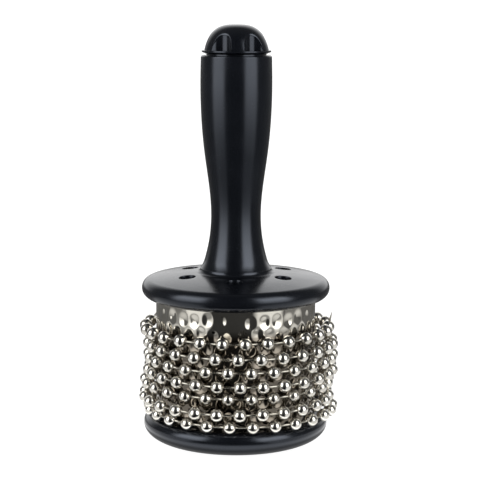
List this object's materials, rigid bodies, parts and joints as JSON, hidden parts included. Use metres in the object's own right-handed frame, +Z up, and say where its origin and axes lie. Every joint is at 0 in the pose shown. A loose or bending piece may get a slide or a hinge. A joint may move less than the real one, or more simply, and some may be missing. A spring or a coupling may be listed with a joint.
{
  "type": "cabasa",
  "caption": "Hand-held cabasa: loops of steel ball chain turn loosely round a dimpled metal drum between a base and a flange, under a waisted black handle.",
  "frame": {"origin": "centre of the base's flat underside", "axes": "+Z up along the handle's axis, -Y towards the player, +X to the player's right"},
  "size_m": [0.0853, 0.0878, 0.1767],
  "materials": {
    "black_plastic": "moulded, semi-gloss",
    "cap_plastic": "moulded, semi-gloss",
    "sleeve_steel": "bright, dimpled",
    "nickel_beads": "polished nickel plate",
    "nickel_wire": "bright drawn wire",
    "core_wood": "turned, bare",
    "black_screws": "black oxide",
    "zinc_steel": "zinc plated",
    "insert_brass": "turned"
  },
  "bodies": {
    "instrument": {"base": "black_plastic", "base_screws": "black_screws", "drum_core": "core_wood", "sleeve": "sleeve_steel", "top_flange": "black_plastic", "flange_screws": "black_screws", "handle_bolt": "zinc_steel", "bolt_washer": "zinc_steel", "handle_insert": "insert_brass", "handle": "black_plastic", "end_cap": "cap_plastic"},
    "chain_1": {"chain_1_beads": "nickel_beads", "chain_1_links": "nickel_wire", "chain_1_wire_tail": "nickel_wire"},
    "chain_2": {"chain_2_beads": "nickel_beads", "chain_2_links": "nickel_wire"},
    "chain_3": {"chain_3_beads": "nickel_beads", "chain_3_links": "nickel_wire"},
    "chain_4": {"chain_4_beads": "nickel_beads", "chain_4_links": "nickel_wire"},
    "chain_5": {"chain_5_beads": "nickel_beads", "chain_5_links": "nickel_wire"},
    "chain_6": {"chain_6_beads": "nickel_beads", "chain_6_links": "nickel_wire"},
    "chain_7": {"chain_7_beads": "nickel_beads", "chain_7_links": "nickel_wire"}
  },
  "joints": [
    {"name": "chain_1_turn", "type": "hinge", "parent": "instrument", "child": "chain_1", "pos_m": [0.00057, 0.00213, 0.04814], "axis": [0, 0, 1], "continuous": true},
    {"name": "chain_2_turn", "type": "hinge", "parent": "instrument", "child": "chain_2", "pos_m": [0.0022, 0, 0.0422], "axis": [0, 0, 1], "continuous": true},
    {"name": "chain_3_turn", "type": "hinge", "parent": "instrument", "child": "chain_3", "pos_m": [0.00218, 0.00031, 0.03656], "axis": [0, 0, 1], "continuous": true},
    {"name": "chain_4_turn", "type": "hinge", "parent": "instrument", "child": "chain_4", "pos_m": [0.00207, -0.00075, 0.03092], "axis": [0, 0, 1], "continuous": true},
    {"name": "chain_5_turn", "type": "hinge", "parent": "instrument", "child": "chain_5", "pos_m": [0.00068, 0.00209, 0.02528], "axis": [0, 0, 1], "continuous": true},
    {"name": "chain_6_turn", "type": "hinge", "parent": "instrument", "child": "chain_6", "pos_m": [0.00038, -0.00217, 0.01964], "axis": [0, 0, 1], "continuous": true},
    {"name": "chain_7_turn", "type": "hinge", "parent": "instrument", "child": "chain_7", "pos_m": [0.00219, 0.00019, 0.014], "axis": [0, 0, 1], "continuous": true}
  ]
}
